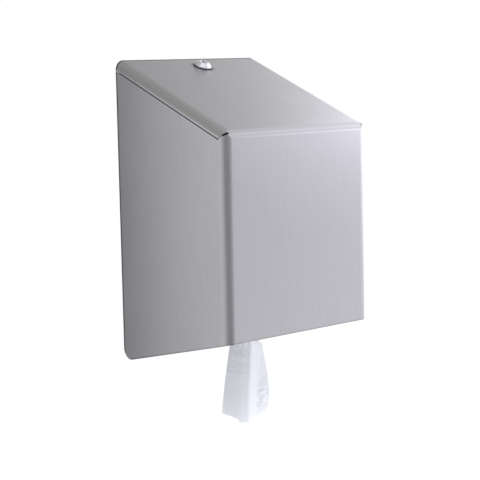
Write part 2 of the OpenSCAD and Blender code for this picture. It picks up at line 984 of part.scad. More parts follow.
// Half section of the lock's bezel and barrel
module lock_section() {
    bore = plug_r + plug_clearance;
    polygon([
        [bore, bezel_h],
        [bezel_top_r, bezel_h],
        [bezel_r, undercut_h + skirt_h],
        [bezel_r, undercut_h],
        [bezel_r - undercut_in, undercut_h],
        [bezel_r - undercut_in, 0],
        [barrel_r, 0],
        [barrel_r, -barrel_len],
        [bore, -barrel_len]
    ]);
}

module lock_body() {
    color("lightgray")
        at_lock()
            rotate_extrude($fn = 96)
                lock_section();
}

module lock_washer() {
    color("silver")
        at_lock()
            translate([0, 0, -cover_t - washer_t])
                difference() {
                    cylinder(r = washer_r, h = washer_t);
                    translate([0, 0, -over])
                        cylinder(r = barrel_r + barrel_clearance, h = washer_t + 2 * over);
                }
}

module lock_nut() {
    color("gray")
        at_lock()
            translate([0, 0, -cover_t - washer_t - nut_t])
                difference() {
                    rotate([0, 0, 30])
                        cylinder(d = nut_af / cos(30), h = nut_t, $fn = 6);
                    translate([0, 0, -over])
                        cylinder(r = barrel_r + barrel_clearance / 2, h = nut_t + 2 * over);
                }
}

module lock_plug() {
    face = bezel_h - plug_sink;
    color("darkgray")
        at_lock()
            difference() {
                union() {
                    translate([0, 0, -barrel_len - cam_gap])
                        cylinder(r = plug_r, h = face + barrel_len + cam_gap);
                    translate([-drive_side / 2, -drive_side / 2, cam_low])
                        cube([drive_side, drive_side, cam_t + over]);
                }
                translate([-key_w / 2, -key_len / 2, face - key_depth])
                    cube([key_w, key_len, key_depth + over]);
                translate([0, 0, cam_low - over])
                    cylinder(d = screw_d, h = screw_depth + over);
            }
}

module lock_cam() {
    hole = drive_side + 2 * drive_clearance;
    color("gray")
        at_lock()
            translate([0, 0, cam_low])
                difference() {
                    union() {
                        cylinder(r = cam_hub_r, h = cam_t);
                        translate([0, -cam_w / 2, 0])
                            cube([cam_len, cam_w, cam_t]);
                    }
                    translate([-hole / 2, -hole / 2, -over])
                        cube([hole, hole, cam_t + 2 * over]);
                }
}

module cam_washer() {
    color("silver")
        at_lock()
            translate([0, 0, cam_low - cam_washer_t])
                difference() {
                    cylinder(d = cam_washer_d, h = cam_washer_t);
                    translate([0, 0, -over])
                        cylinder(d = screw_d, h = cam_washer_t + 2 * over);
                }
}

module cam_screw() {
    under_head = cam_low - cam_washer_t;
    color("lightgray")
        at_lock()
            difference() {
                union() {
                    translate([0, 0, under_head - screw_head_h])
                        cylinder(d = screw_head_d, h = screw_head_h);
                    translate([0, 0, under_head])
                        cylinder(d = screw_d, h = cam_washer_t + screw_depth - screw_tip_gap);
                }
                for (turn = [0, 90])
                    rotate([0, 0, turn])
                        translate([-cross_len / 2, -cross_w / 2, under_head - screw_head_h - over])
                            cube([cross_len, cross_w, cross_depth + over]);
            }
}

module paper_roll() {
    pitch = (roll_d - core_d) / 2 / (turn_count + 1);
    color("white")
        translate([0, -roll_axis, shelf_z + roll_gap])
            difference() {
                rotate_extrude($fn = 128)
                    difference() {
                        translate([core_d / 2, 0])
                            square([(roll_d - core_d) / 2, roll_h]);
                        for (turn = [1 : turn_count])
                            translate([core_d / 2 + turn * pitch, roll_h - groove_h])
                                square([groove_w, groove_h + over]);
                    }
                rotate([0, 0, outer_turn_start])
                    translate([0, 0, -over])
                        rotate_extrude(angle = -outer_turn_gap, $fn = 128)
                            translate([roll_d / 2 - outer_turn_t, 0])
                                square([outer_turn_t + over, roll_h + 2 * over]);
            }
}

// Smooth step from 0 to 1 while t runs from a to b
function ease(t, a, b) =
    let (s = min(1, max(0, (t - a) / (b - a))))
    s * s * (3 - 2 * s);

tail_throat_r = throat_r - tail_gap;
tail_core_r = core_d / 2 - tail_gap;
tail_top = shelf_z + tail_rise;
tail_points = 42;
fan_steps = 12;
cone_steps = 6;

// One ring of the gathered paper: half width, half thickness, gather depth, height and turn
function paper_ring(half_w, half_t, gather, z, turn, tear) = [
    for (i = [0 : tail_points - 1])
        let (
            a = 360 * i / tail_points,
            wave = gather * (cos(pleat_count * a) - 1) / 2,
            x = (half_w + wave) * cos(a),
            y = (half_t + wave) * sin(a)
        )
        [
            x * cos(turn) - y * sin(turn),
            x * sin(turn) + y * cos(turn) - roll_axis,
            z + tear * (sin(long_tears * a + tear_start) + short_tear_share * sin(short_tears * a))
        ]
];

// Ring of the paper cone between the roll and the throat, inside or outside face
function cone_ring(s, skin) =
    let (
        r = tail_throat_r + (tail_core_r - tail_throat_r) * ease(s, 0, 1) - skin,
        z = throat_z + (tail_top - throat_z) * s
    )
    paper_ring(r, r, pleat_h / 2, z, 0, 0);

// Ring of the tail below the nozzle, which fans out and flattens
function fan_ring(s) =
    let (
        spread = sin(90 * min(1, s / fan_share)),
        half_w = tail_throat_r + (tail_w / 2 - tail_throat_r) * spread,
        half_t = tail_throat_r + (tail_thick / 2 - tail_throat_r) * spread,
        gather = pleat_h * (0.5 + spread),
        z = nozzle_low - tail_len * s
    )
    paper_ring(half_w, half_t, gather, z, tail_turn * spread, tear_h * ease(s, 0.8, 1));

function ring_faces(rings) = concat(
    [[for (i = [0 : tail_points - 1]) i]],
    [
        for (ring = [0 : rings - 2], i = [0 : tail_points - 1])
            let (
                a = ring * tail_points + i,
                b = ring * tail_points + (i + 1) % tail_points
            )
            each [
                [a, a + tail_points, b],
                [b, a + tail_points, b + tail_points]
            ]
    ],
    [[for (i = [tail_points - 1 : -1 : 0]) (rings - 1) * tail_points + i]]
);

module paper_tail() {
    inside = [for (k = [1 : cone_steps]) cone_ring(k / cone_steps, cone_wall)];
    outside = [for (k = [cone_steps : -1 : 0]) cone_ring(k / cone_steps, 0)];
    fan = [for (k = [0 : fan_steps]) fan_ring(k / fan_steps)];
    rings = concat(inside, outside, fan);
    points = [for (ring = rings) each ring];
    color("white")
        polyhedron(points = points, faces = ring_faces(len(rings)), convexity = 6);
}

back_plate();
shelf();
shelf_rivets();
nozzle();
nozzle_ring();
lock_catch();
catch_rivets();
rubber_buffers();
hinge_bushes();
paper_roll();
paper_tail();
cover();
hinge_studs();
stud_clips();
lock_body();
lock_washer();
lock_nut();
lock_plug();
lock_cam();
cam_washer();
cam_screw();
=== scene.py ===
# Looks of the wall-hung dispenser: brushed sheet cover, chromed lock and the hanging tissue.
import json
import math

import bpy
from mathutils import Matrix, Vector, noise


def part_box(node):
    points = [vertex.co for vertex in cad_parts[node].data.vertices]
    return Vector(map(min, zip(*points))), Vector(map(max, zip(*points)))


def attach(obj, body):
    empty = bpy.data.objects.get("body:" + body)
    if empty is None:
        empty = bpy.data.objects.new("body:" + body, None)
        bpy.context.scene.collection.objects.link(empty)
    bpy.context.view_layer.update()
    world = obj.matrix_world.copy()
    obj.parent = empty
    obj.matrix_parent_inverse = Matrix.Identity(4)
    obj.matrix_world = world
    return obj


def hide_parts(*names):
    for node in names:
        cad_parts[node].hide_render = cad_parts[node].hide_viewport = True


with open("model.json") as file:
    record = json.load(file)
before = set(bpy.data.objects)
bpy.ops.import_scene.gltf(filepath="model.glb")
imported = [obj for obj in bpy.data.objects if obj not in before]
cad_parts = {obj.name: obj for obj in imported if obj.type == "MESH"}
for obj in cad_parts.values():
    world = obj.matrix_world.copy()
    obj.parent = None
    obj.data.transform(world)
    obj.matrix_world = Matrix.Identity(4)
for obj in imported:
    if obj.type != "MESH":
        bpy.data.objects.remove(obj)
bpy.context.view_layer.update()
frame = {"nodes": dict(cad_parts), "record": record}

MM = 0.001
TURN = 2 * math.pi
WHITE = (1.0, 1.0, 1.0, 1.0)

# Camera: angles in degrees, with azimuth 0 straight in front; the lens and the sensor in mm
CAMERA_AZIMUTH = -40.9
CAMERA_ELEVATION = 7.5
CAMERA_ROLL = -1.1
CAMERA_DISTANCE = 1.8098
CAMERA_TARGET = Vector((-0.0009, -0.1001, -0.0390))
CAMERA_LENS = 104.19
SENSOR_WIDTH = 36.0

# Room: the floor lies far below the object and glows a little where it is seen directly
HANGING_HEIGHT = 1.3
FLOOR_SIZE = 30.0
FLOOR_COLOUR = (0.86, 0.86, 0.86, 1.0)
FLOOR_OWN_LIGHT = 0.2
AMBIENT_LIGHT = 0.95

# Lock: its turning axis, the painted shade round its seat, and the ring of sheet that fingers have
# dulled
LOCK_JOINT = next(j for j in frame["record"]["behaviour"]["joints"] if j["name"] == "lock_turn")
LOCK_PLACE = Vector(LOCK_JOINT["pos_m"])
LOCK_AXIS = Vector(LOCK_JOINT["axis"]).normalized()
SEAT_WIDTH = 5.5 * MM
SEAT_FALL = 0.5
HANDLED_WIDTH = 9 * MM
HANDLED_DULLNESS = 0.35

# Depths below a piece's top where its chrome is still bright and where it is painted dark as shade
BEZEL_UNDERCUT = (5.7 * MM, 5.9 * MM)
KEY_SLOT = (0.12 * MM, 0.35 * MM)
RECESS_PAINTED_SHADE_TONE = (0.05, 0.05, 0.055)

# Painted shade in the open seams of the cover: how deep below the top face their middle lies, half their
# width, how far the painted shade fades out, how sharp its ends are, and how far behind the front face a
# seam ends
SEAM_DEPTH = 12.3 * MM
SEAM_HALF = 0.4 * MM
SEAM_SHADE = 0.8 * MM
SEAM_BLUR = 0.5 * MM
SEAM_SETBACK = 11.5 * MM
PAINTED_SHADE_TONE = (0.10, 0.10, 0.105)

# Painted shade along the cover's free edges: its width at the rear, and where it starts and ends below
REAR_SHADE = 1.3 * MM
REAR_PAINTED_SHADE_TONE = (0.14, 0.14, 0.15)
LOW_SHADE_START = 0.5 * MM
LOW_SHADE_END = 2.6 * MM
LOW_PAINTED_SHADE_TONE = (0.26, 0.26, 0.27)

# Brushing: a face counts as a side wall above this sideways share of its normal, and the lines of
# the side walls are read from another part of the noise
SIDE_FACING = 0.72
SIDE_LINES = 37.0

# The Mix node's sockets for numbers and for colours share their names, so they go by place
NUMBER_A = 2
NUMBER_B = 3
COLOUR_A = 6
COLOUR_B = 7
COLOUR_RESULT = 2


def direction(azimuth, elevation):
    """Unit vector from the object towards a place in the room, for angles in degrees."""
    a = math.radians(azimuth)
    e = math.radians(elevation)
    return Vector((math.sin(a) * math.cos(e), -math.cos(a) * math.cos(e), math.sin(e)))


def make_camera():
    """The camera looks at its target and is rolled a little about its own line of sight."""
    back = direction(CAMERA_AZIMUTH, CAMERA_ELEVATION)
    right = (-back).cross(Vector((0, 0, 1))).normalized()
    up = right.cross(-back)
    roll = math.radians(CAMERA_ROLL)
    rolled_right = right * math.cos(roll) + up * math.sin(roll)
    rolled_up = up * math.cos(roll) - right * math.sin(roll)
    data = bpy.data.cameras.new("camera")
    data.lens = CAMERA_LENS
    data.sensor_width = SENSOR_WIDTH
    data.clip_start = 0.01
    data.clip_end = 100.0
    camera = bpy.data.objects.new("camera", data)
    bpy.context.scene.collection.objects.link(camera)
    turn = Matrix((rolled_right, rolled_up, back)).transposed().to_4x4()
    camera.matrix_world = Matrix.Translation(CAMERA_TARGET + back * CAMERA_DISTANCE) @ turn
    bpy.context.scene.camera = camera


# Node tree helpers
def add(tree, kind, **settings):
    """Adds a node; settings named as sockets set their values, and the others are properties."""
    made = tree.nodes.new(kind)
    for name, value in settings.items():
        if hasattr(made, name):
            setattr(made, name, value)
        else:
            made.inputs[name.replace("_", " ")].default_value = value
    return made


def link(tree, output, target):
    tree.links.new(output, target)


def maths(tree, operation, first, second=None):
    """A maths node; each operand is a number or another node's output."""
    made = tree.nodes.new("ShaderNodeMath")
    made.operation = operation
    for socket, value in zip(made.inputs, (first, second)):
        if isinstance(value, (int, float)):
            socket.default_value = value
        elif value is not None:
            link(tree, value, socket)
    return made.outputs[0]


def vector_maths(tree, operation, first, second=None):
    """A vector maths node on another node's output, with a fixed vector as second operand."""
    made = add(tree, "ShaderNodeVectorMath", operation=operation)
    link(tree, first, made.inputs[0])
    if second is not None:
        made.inputs[1].default_value = second
    gives_number = operation in ("DOT_PRODUCT", "LENGTH")
    return made.outputs["Value" if gives_number else "Vector"]


def ramp(tree, value, start, stop):
    """A smooth rise from 0 to 1 as a value goes from start to stop."""
    made = add(tree, "ShaderNodeMapRange", interpolation_type="SMOOTHSTEP")
    made.inputs["From Min"].default_value = start
    made.inputs["From Max"].default_value = stop
    link(tree, value, made.inputs["Value"])
    return made.outputs[0]


def object_place(tree):
    """The shaded place in the object's own axes."""
    return add(tree, "ShaderNodeTexCoord").outputs["Object"]


def split_axes(tree, vector):
    """A vector's X, Y and Z as outputs of their own."""
    made = add(tree, "ShaderNodeSeparateXYZ")
    link(tree, vector, made.inputs[0])
    return made.outputs


def noise_of_size(tree, size, detail, roughness):
    """Noise in the object's own axes, with the size of its features from another node's output."""
    made = add(tree, "ShaderNodeTexNoise", Detail=detail, Roughness=roughness)
    link(tree, maths(tree, "DIVIDE", 1.0, size), made.inputs["Scale"])
    link(tree, object_place(tree), made.inputs["Vector"])
    return made.outputs[0]


def seen_directly(tree):
    """1 where the camera, a reflection or glass sees something, and 0 for the light it gives off."""
    path = add(tree, "ShaderNodeLightPath")
    seen = maths(tree, "MAXIMUM", path.outputs["Is Camera Ray"], path.outputs["Is Glossy Ray"])
    return maths(tree, "MAXIMUM", seen, path.outputs["Is Transmission Ray"])


def new_group(name, inputs, outputs):
    """A shader node group with named number inputs and their values, and outputs and their kinds."""
    group = bpy.data.node_groups.new(name, "ShaderNodeTree")
    for label, value in inputs.items():
        socket = group.interface.new_socket(label, in_out="INPUT", socket_type="NodeSocketFloat")
        socket.default_value = value
    for label, kind in outputs.items():
        group.interface.new_socket(label, in_out="OUTPUT", socket_type=kind)
    entry = group.nodes.new("NodeGroupInput")
    leave = group.nodes.new("NodeGroupOutput")
    return group, entry.outputs, leave.inputs


def place_group(tree, group, **values):
    """Puts a group into a tree, sets its inputs and returns its outputs."""
    made = tree.nodes.new("ShaderNodeGroup")
    made.node_tree = group
    for label, value in values.items():
        made.inputs[label.replace("_", " ")].default_value = value
    return made.outputs


def sheet_grain_group():
    """Fine brushing that runs up each wall and down the fall of the top."""
    group, entry, leave = new_group(
        "sheet_grain",
        {"Line Width": 0.0005, "Line Length": 0.05, "Contrast": 0.5},
        {"Tone": "NodeSocketFloat", "Height": "NodeSocketFloat"},
    )
    place = split_axes(group, object_place(group))
    facing = split_axes(group, add(group, "ShaderNodeNewGeometry").outputs["True Normal"])
    on_side = maths(group, "GREATER_THAN", maths(group, "ABSOLUTE", facing["X"]), SIDE_FACING)
    pick = add(group, "ShaderNodeMix")
    link(group, on_side, pick.inputs["Factor"])
    link(group, maths(group, "DIVIDE", place["X"], entry["Line Width"]), pick.inputs[NUMBER_A])
    link(group, maths(group, "DIVIDE", place["Y"], entry["Line Width"]), pick.inputs[NUMBER_B])
    spot = add(group, "ShaderNodeCombineXYZ")
    link(group, pick.outputs[0], spot.inputs["X"])
    link(group, maths(group, "DIVIDE", place["Z"], entry["Line Length"]), spot.inputs["Y"])
    link(group, maths(group, "MULTIPLY", on_side, SIDE_LINES), spot.inputs["Z"])
    lines = add(group, "ShaderNodeTexNoise", Scale=1.0, Detail=3.0, Roughness=0.62)
    link(group, spot.outputs[0], lines.inputs["Vector"])
    centred = maths(group, "SUBTRACT", lines.outputs[0], 0.5)
    strong = maths(group, "MULTIPLY", centred, entry["Contrast"])
    link(group, maths(group, "ADD", strong, 0.5), leave["Tone"])
    link(group, lines.outputs[0], leave["Height"])
    return group


def soft_mottle_group():
    """Slow, cloudy change over a surface, from a low value to a high one."""
    group, entry, leave = new_group(
        "soft_mottle",
        {"Patch Size": 0.05, "Low": 0.4, "High": 0.6},
        {"Value": "NodeSocketFloat"},
    )
    clouds = noise_of_size(group, entry["Patch Size"], detail=2.0, roughness=0.5)
    spread = add(group, "ShaderNodeMapRange", From_Min=0.3, From_Max=0.7)
    link(group, clouds, spread.inputs["Value"])
    link(group, entry["Low"], spread.inputs["To Min"])
    link(group, entry["High"], spread.inputs["To Max"])
    link(group, spread.outputs[0], leave["Value"])
    return group


def fine_skin_group():
    """Small, even roughness of a moulded or plated surface, as a height."""
    group, entry, leave = new_group(
        "fine_skin", {"Grain Size": 0.0006}, {"Height": "NodeSocketFloat"}
    )
    grains = noise_of_size(group, entry["Grain Size"], detail=4.0, roughness=0.6)
    link(group, grains, leave["Height"])
    return group


def tissue_dimple_group():
    """Pressed dimples and loose fibres of soft tissue."""
    group, entry, leave = new_group(
        "tissue_dimples",
        {"Dimple Pitch": 0.0028, "Fibre Size": 0.0008},
        {"Height": "NodeSocketFloat", "Tone": "NodeSocketFloat"},
    )
    dimples = add(group, "ShaderNodeTexVoronoi", feature="SMOOTH_F1", Smoothness=0.4, Randomness=0.25)
    link(group, maths(group, "DIVIDE", 1.0, entry["Dimple Pitch"]), dimples.inputs["Scale"])
    link(group, object_place(group), dimples.inputs["Vector"])
    fibres = noise_of_size(group, entry["Fibre Size"], detail=5.0, roughness=0.7)
    low_fibres = maths(group, "MULTIPLY", fibres, 0.35)
    link(group, maths(group, "ADD", dimples.outputs["Distance"], low_fibres), leave["Height"])
    link(group, fibres, leave["Tone"])
    return group


SHEET_GRAIN = sheet_grain_group()
SOFT_MOTTLE = soft_mottle_group()
FINE_SKIN = fine_skin_group()
TISSUE_DIMPLES = tissue_dimple_group()


# Surface helpers
def new_material(name, **settings):
    """A material and its Principled shader, with plain values on the shader's own sockets."""
    material = bpy.data.materials.new(name)
    material.use_nodes = True
    shader = material.node_tree.nodes["Principled BSDF"]
    for label, value in settings.items():
        shader.inputs[label.replace("_", " ")].default_value = value
    return material, material.node_tree, shader


def tint(tree, shader, factor, dark, light):
    """Base colour that runs from dark to light with a factor over the surface."""
    mix = add(tree, "ShaderNodeMix", data_type="RGBA")
    mix.inputs[COLOUR_A].default_value = (*dark, 1.0)
    mix.inputs[COLOUR_B].default_value = (*light, 1.0)
    link(tree, factor, mix.inputs["Factor"])
    link(tree, mix.outputs[COLOUR_RESULT], shader.inputs["Base Color"])


def shade_base(tree, shader, open_face, dark):
    """Paints shade into the base colour, running it into a dark one where a factor falls from 1 to 0."""
    shade = add(tree, "ShaderNodeMix", data_type="RGBA")
    shade.inputs[COLOUR_A].default_value = (*dark, 1.0)
    link(tree, open_face, shade.inputs["Factor"])
    link(tree, shader.inputs["Base Color"].links[0].from_socket, shade.inputs[COLOUR_B])
    link(tree, shade.outputs[COLOUR_RESULT], shader.inputs["Base Color"])


def mottle_between(tree, patch, low, high):
    """A value that drifts between a low and a high one in patches of a size."""
    return place_group(tree, SOFT_MOTTLE, Patch_Size=patch, Low=low, High=high)["Value"]


def rough_between(tree, shader, patch, low, high):
    """Gloss that drifts between two values of roughness."""
    link(tree, mottle_between(tree, patch, low, high), shader.inputs["Roughness"])


def emboss(tree, shader, height, strength, distance):
    """Fine relief on the shader's normal."""
    bump = add(tree, "ShaderNodeBump", Strength=strength, Distance=distance)
    link(tree, height, bump.inputs["Height"])
    link(tree, bump.outputs[0], shader.inputs["Normal"])


def brushed_sheet(name, dark, light, patch, low, high, line, contrast, relief):
    """Sheet steel with brushing along it and slow changes of gloss."""
    material, tree, shader = new_material(name, Metallic=1.0)
    grain = place_group(tree, SHEET_GRAIN, Line_Width=line, Contrast=contrast)
    tint(tree, shader, grain["Tone"], dark, light)
    rough_between(tree, shader, patch, low, high)
    emboss(tree, shader, grain["Height"], relief, line)
    return material


# Factors over the cover
def reach_from_lock(tree, place):
    """Distance from the lock's turning axis."""
    from_lock = vector_maths(tree, "SUBTRACT", place, LOCK_PLACE)
    across = vector_maths(tree, "CROSS_PRODUCT", from_lock, LOCK_AXIS)
    return vector_maths(tree, "LENGTH", across)


def off_seams(tree, place, corners):
    """A factor for the painted shade in the two open seams below the cover's top: 0 in them and 1 beside
    them.
    """
    top_face = max(LOCK_AXIS.dot(corner) for corner in corners)
    half = max(corner.x for corner in corners)
    seam_end = min(corner.y for corner in corners) + SEAM_SETBACK
    height = vector_maths(tree, "DOT_PRODUCT", place, LOCK_AXIS)
    from_seam = maths(tree, "ABSOLUTE", maths(tree, "SUBTRACT", height, top_face - SEAM_DEPTH))
    clear = ramp(tree, from_seam, SEAM_HALF, SEAM_HALF + SEAM_SHADE)
    axes = split_axes(tree, place)
    sideways = maths(tree, "ABSOLUTE", axes["X"])
    inside = ramp(tree, sideways, half - SEAM_BLUR, half - 3 * SEAM_BLUR)
    ahead = ramp(tree, axes["Y"], seam_end, seam_end - SEAM_BLUR)
    return maths(tree, "MAXIMUM", clear, maths(tree, "MAXIMUM", inside, ahead))


def off_rear_edge(tree, place, corners):
    """A factor for the painted shade at the cover's open rear edge: 0 at the edge and 1 ahead of it."""
    rear = max(corner.y for corner in corners) - REAR_SHADE
    return ramp(tree, split_axes(tree, place)["Y"], rear, rear - 2 * REAR_SHADE)


def above_low_edge(tree, place, corners):
    """A factor for the painted shade at the cover's lower edge, which falls to the wall: 0 at the edge
    and 1 above it.
    """
    front = min(corner.y for corner in corners)
    front_low = min(corner.z for corner in corners if corner.y < front + MM)
    rear_low = min(corners, key=lambda corner: corner.z)
    fall = (rear_low.z - front_low) / (rear_low.y - front)
    square = Vector((0, -fall, 1)).normalized()
    low_edge = min(square.dot(corner) for corner in corners)
    height = vector_maths(tree, "DOT_PRODUCT", place, square)
    return ramp(tree, height, low_edge + LOW_SHADE_START, low_edge + LOW_SHADE_END)


# Materials
def brushed_cover_material():
    """The cover's brushed steel, with painted shade at the lock's seat, the open seams and the free
    edges.
    """
    material = brushed_sheet(
        "brushed_cover_steel", (0.40, 0.40, 0.425), (0.53, 0.53, 0.56),
        patch=0.07, low=0.27, high=0.33, line=0.00055, contrast=1.0, relief=0.10,
    )
    tree = material.node_tree
    shader = tree.nodes["Principled BSDF"]
    place = object_place(tree)
    corners = [vertex.co for vertex in frame["nodes"]["cover"].data.vertices]
    lock_low, lock_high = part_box("lock_body")
    bezel = (lock_high.x - lock_low.x) / 2

    reach = reach_from_lock(tree, place)
    handled = ramp(tree, reach, bezel + HANDLED_WIDTH, bezel + HANDLED_WIDTH / 3)
    polish = shader.inputs["Roughness"].links[0].from_socket
    duller = maths(tree, "ADD", polish, maths(tree, "MULTIPLY", handled, HANDLED_DULLNESS))
    link(tree, duller, shader.inputs["Roughness"])

    # painted shade round the lock's seat and in the open seams
    off_seat = maths(tree, "POWER", ramp(tree, reach, bezel, bezel + SEAT_WIDTH), SEAT_FALL)
    off_both = maths(tree, "MINIMUM", off_seat, off_seams(tree, place, corners))
    shade_base(tree, shader, off_both, PAINTED_SHADE_TONE)
    # painted shade along the rear and lower edges
    shade_base(tree, shader, off_rear_edge(tree, place, corners), REAR_PAINTED_SHADE_TONE)
    shade_base(tree, shader, above_low_edge(tree, place, corners), LOW_PAINTED_SHADE_TONE)
    return material


def mill_sheet_material():
    """Plain mill sheet of the back plate and the shelf."""
    return brushed_sheet(
        "mill_sheet_steel", (0.47, 0.475, 0.48), (0.58, 0.585, 0.59),
        patch=0.03, low=0.32, high=0.42, line=0.0009, contrast=0.7, relief=0.06,
    )


def zinc_material():
    """Zinc plating with small spangles for rivets, studs, washers and the cam."""
    material, tree, shader = new_material("zinc_plate", Metallic=1.0)
    spangle = mottle_between(tree, patch=0.004, low=0.0, high=1.0)
    tint(tree, shader, spangle, (0.50, 0.51, 0.52), (0.62, 0.62, 0.61))
    rough_between(tree, shader, patch=0.006, low=0.24, high=0.38)
    skin = place_group(tree, FINE_SKIN, Grain_Size=0.0007)
    emboss(tree, shader, skin["Height"], strength=0.12, distance=0.0002)
    return material


def lock_chrome(name, node, depths):
    """Polished chrome with painted shade, turning dark and dull between two depths, as in a key slot or
    an undercut.
    """
    bright_depth, dark_depth = depths
    top = max(LOCK_AXIS.dot(vertex.co) for vertex in frame["nodes"][node].data.vertices)
    material, tree, shader = new_material(name)
    mottle = mottle_between(tree, patch=0.003, low=0.0, high=1.0)
    tint(tree, shader, mottle, (0.755, 0.745, 0.83), (0.835, 0.825, 0.91))
    along = vector_maths(tree, "DOT_PRODUCT", object_place(tree), LOCK_AXIS)
    bright = ramp(tree, along, top - dark_depth, top - bright_depth)
    # painted shade in the key slot or under the bezel's undercut
    shade_base(tree, shader, bright, RECESS_PAINTED_SHADE_TONE)
    link(tree, bright, shader.inputs["Metallic"])
    dull = add(tree, "ShaderNodeMapRange", To_Min=0.7, To_Max=0.1)
    link(tree, bright, dull.inputs["Value"])
    link(tree, dull.outputs[0], shader.inputs["Roughness"])
    skin = place_group(tree, FINE_SKIN, Grain_Size=0.0012)
    emboss(tree, shader, skin["Height"], strength=0.05, distance=0.0001)
    return material


def moulded_material(name, dark, light, low, high, grain, relief, level=0.5):
    """Moulded plastic or rubber with a fine skin."""
    material, tree, shader = new_material(name, Specular_IOR_Level=level)
    tint(tree, shader, mottle_between(tree, patch=0.02, low=0.0, high=1.0), dark, light)
    rough_between(tree, shader, 0.01, low, high)
    skin = place_group(tree, FINE_SKIN, Grain_Size=grain)
    emboss(tree, shader, skin["Height"], relief, distance=0.0002)
    return material


def tissue_material(name, dark, light, pitch, relief, subsurface):
    """Soft tissue pressed with dimples."""
    material, tree, shader = new_material(
        name, Subsurface_Weight=subsurface, Subsurface_Scale=0.003, Subsurface_Radius=(1.0, 1.0, 1.0),
        Sheen_Weight=0.15, Specular_IOR_Level=0.2,
    )
    pressed = place_group(tree, TISSUE_DIMPLES, Dimple_Pitch=pitch)
    tint(tree, shader, pressed["Tone"], dark, light)
    rough_between(tree, shader, patch=0.01, low=0.86, high=0.95)
    emboss(tree, shader, pressed["Height"], relief, distance=0.0004)
    return material


SHEET_TISSUE = tissue_material(
    "tissue_sheet", (0.80, 0.815, 0.90), (0.86, 0.875, 0.955), pitch=0.0030, relief=0.25, subsurface=0.25
)
ROLL_TISSUE = tissue_material(
    "tissue_roll", (0.84, 0.84, 0.86), (0.90, 0.90, 0.91), pitch=0.0034, relief=0.5, subsurface=0.0
)
SLOT_FINISHES = {
    "brushed_cover": brushed_cover_material(),
    "inner_steel": mill_sheet_material(),
    "fastener_steel": zinc_material(),
    "lock_chrome": lock_chrome("bezel_chrome", "lock_body", BEZEL_UNDERCUT),
    "white_plastic": moulded_material(
        "white_moulding", (0.80, 0.80, 0.79), (0.84, 0.84, 0.83),
        low=0.36, high=0.48, grain=0.0005, relief=0.10,
    ),
    "nylon": moulded_material(
        "natural_nylon", (0.74, 0.72, 0.64), (0.80, 0.78, 0.71),
        low=0.42, high=0.55, grain=0.0006, relief=0.10,
    ),
    "black_rubber": moulded_material(
        "buffer_rubber", (0.022, 0.022, 0.023), (0.035, 0.035, 0.036),
        low=0.62, high=0.8, grain=0.0004, relief=0.3, level=0.35,
    ),
    "tissue": SHEET_TISSUE,
}
OWN_FINISHES = {"lock_plug": lock_chrome("plug_chrome", "lock_plug", KEY_SLOT)}


def dress_frame():
    """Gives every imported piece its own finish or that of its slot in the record."""
    for part in frame["record"]["subparts"]:
        shown = frame["nodes"][part["node"]]
        shown.data.materials.clear()
        shown.data.materials.append(OWN_FINISHES.get(part["node"], SLOT_FINISHES[part["material_slot"]]))


# Mesh helpers
def mesh_object(name, points, faces, material):
    """A smooth mesh in the scene, with one material."""
    mesh = bpy.data.meshes.new(name)
    mesh.from_pydata(points, [], faces)
    mesh.validate()
    mesh.materials.append(material)
    for face in mesh.polygons:
        face.use_smooth = True
    made = bpy.data.objects.new(name, mesh)
    bpy.context.scene.collection.objects.link(made)
    return made


def grid_faces(start, rows, columns, closed=False):
    """Faces of a grid whose points are listed row by row; closed joins its last column to the first."""
    wide = columns if closed else columns - 1
    faces = []
    for row in range(rows - 1):
        for column in range(wide):
            after = (column + 1) % columns
            low = start + row * columns
            faces.append((low + column, low + after, low + columns + after, low + columns + column))
    return faces


def blend_between(a, b, t):
    """The value a share t of the way from a to b."""
    return a + (b - a) * t


def rise(value, start, stop):
    """Smooth rise from 0 to 1 as a value goes from start to stop, and level before and after."""
    t = min(1.0, max(0.0, (value - start) / (stop - start)))
    return t * t * (3 - 2 * t)


# Paper: places from the frame, sizes of the sheet, and the viewer's right and near side in plan
nozzle_low, nozzle_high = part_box("nozzle")
roll_low, roll_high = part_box("paper_roll")
NOZZLE_AXIS = Vector(((nozzle_low.x + nozzle_high.x) / 2, (nozzle_low.y + nozzle_high.y) / 2, 0))
RIM_Z = nozzle_low.z
SHEET_WIDTH = 195 * MM
SHEET_THICKNESS = 0.3 * MM
SEEN_RIGHT = direction(CAMERA_AZIMUTH + 90, 0)
SEEN_NEAR = direction(CAMERA_AZIMUTH, 0)

# Tail: its length, how far it starts up inside the throat, and the steps of its mesh
TAIL_LENGTH = 114 * MM
TAIL_START = 14 * MM
TAIL_COLUMNS = 240
TAIL_ROWS = 110

# Folds of the tail in plan at its lower edge, in mm to the right and towards the viewer
TAIL_FOLDS = (
    (-3.0, -1.5), (-31.5, -7.0), (-34.2, -5.4), (-12.0, 3.2), (0.5, 4.2), (4.5, 2.0), (11.0, -5.4),
    (12.6, -6.6), (24.4, -14.0), (24.7, -16.0), (-14.0, -19.5), (-29.5, -11.0), (-28.5, -9.2),
    (0.0, -5.0), (6.0, -11.0),
)
# The same folds just below the nozzle
RIM_FOLDS = (
    (1.0, 1.6), (-17.4, -4.2), (-19.2, -2.4), (-3.0, 5.4), (7.4, 8.8), (10.0, 7.8), (18.4, -2.0),
    (19.3, -3.4), (20.2, -5.2), (19.4, -7.4), (-6.0, -13.6), (-14.5, -10.2), (-13.5, -7.6),
    (3.0, 0.0), (9.0, -7.0),
)
# Torn lower edge: mm to the right, and mm below the nozzle's rim
TORN_EDGE = (
    (-35, 105.8), (-20, 109.8), (-11.8, 113.0), (-10.4, 117.0), (-6, 116.6), (3.0, 115.8),
    (5.4, 112.2), (10, 109.6), (20.5, 105.4), (24.5, 99.0), (30, 88.0),
)
# Plies behind: where they start across the sheet, the waves of their torn edge and how much higher
# they end
BEHIND_START = 0.6
BEHIND_WAVE = 4.0 * MM
BEHIND_WAVES = 2.2
BEHIND_RISE = 1.5 * MM
